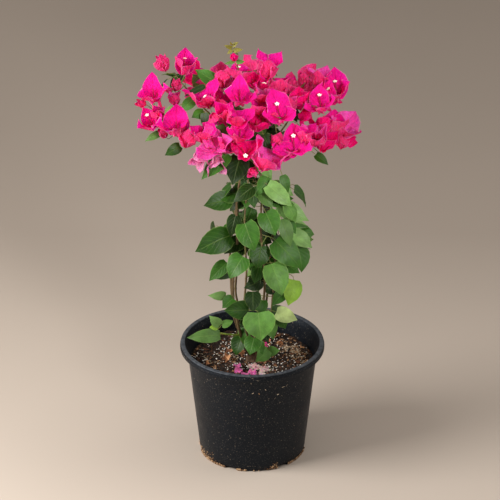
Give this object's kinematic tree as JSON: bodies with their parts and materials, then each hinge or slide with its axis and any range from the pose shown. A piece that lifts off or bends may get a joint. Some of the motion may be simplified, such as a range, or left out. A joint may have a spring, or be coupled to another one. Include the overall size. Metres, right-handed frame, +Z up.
{
  "type": "bougainvillea bush",
  "caption": "Potted bougainvillea bush: thin stems rise as a loose leafy column from a round nursery pot and spread into a flat, wide head of magenta blossom.",
  "frame": {"origin": "centre of the pot's flat underside, where the pot stands on the ground", "axes": "+Z up along the plant, -Y towards the plant's front, +X to the right seen from the front"},
  "size_m": [0.4221, 0.3447, 0.8485],
  "materials": {
    "pot": "matte",
    "soil": "matte",
    "root_crown": "matte",
    "stem": "matte",
    "bough": "matte",
    "blossom": "matte",
    "foliage": "satin"
  },
  "bodies": {
    "root": {"pot": "pot", "soil": "soil", "stem_1": "stem", "stem_2": "stem", "stem_3": "stem", "stem_4": "stem", "stem_5": "stem", "stem_6": "stem", "stem_7": "stem", "root_crown": "root_crown", "bough_front": "bough", "bough_front_left": "bough", "bough_far_left": "bough", "bough_upper_left": "bough", "bough_back_left": "bough", "bough_back_right": "bough", "bough_far_right": "bough", "bough_right_front": "bough", "bough_side_shoot": "bough", "crown_upper_left": "blossom", "crown_far_left": "blossom", "crown_left_front": "blossom", "crown_left_inner": "blossom", "crown_top_left": "blossom", "crown_top": "blossom", "crown_top_front": "blossom", "crown_right_inner": "blossom", "crown_upper_right": "blossom", "crown_right_top": "blossom", "crown_right_middle": "blossom", "crown_front_top": "blossom", "crown_right_front": "blossom", "crown_far_right": "blossom", "crown_front_right": "blossom", "crown_front": "blossom", "crown_front_left": "blossom", "crown_back_left": "blossom", "crown_back": "blossom", "crown_back_right": "blossom", "crown_top_shoot": "foliage", "crown_heart": "foliage", "leaves_under_front": "foliage", "leaves_under_back": "foliage", "leaves_neck_left": "foliage", "leaves_neck_right": "foliage", "leaves_neck_back": "foliage", "leaves_belt_left": "foliage", "leaves_belt_front": "foliage", "leaves_belt_right": "foliage", "leaves_belt_back": "foliage", "leaves_waist_left": "foliage", "leaves_waist_front": "foliage", "leaves_waist_back": "foliage", "leaves_skirt_left": "foliage", "leaves_skirt_right": "foliage", "leaves_foot": "foliage", "leaves_side_shoot": "foliage"}
  },
  "joints": []
}
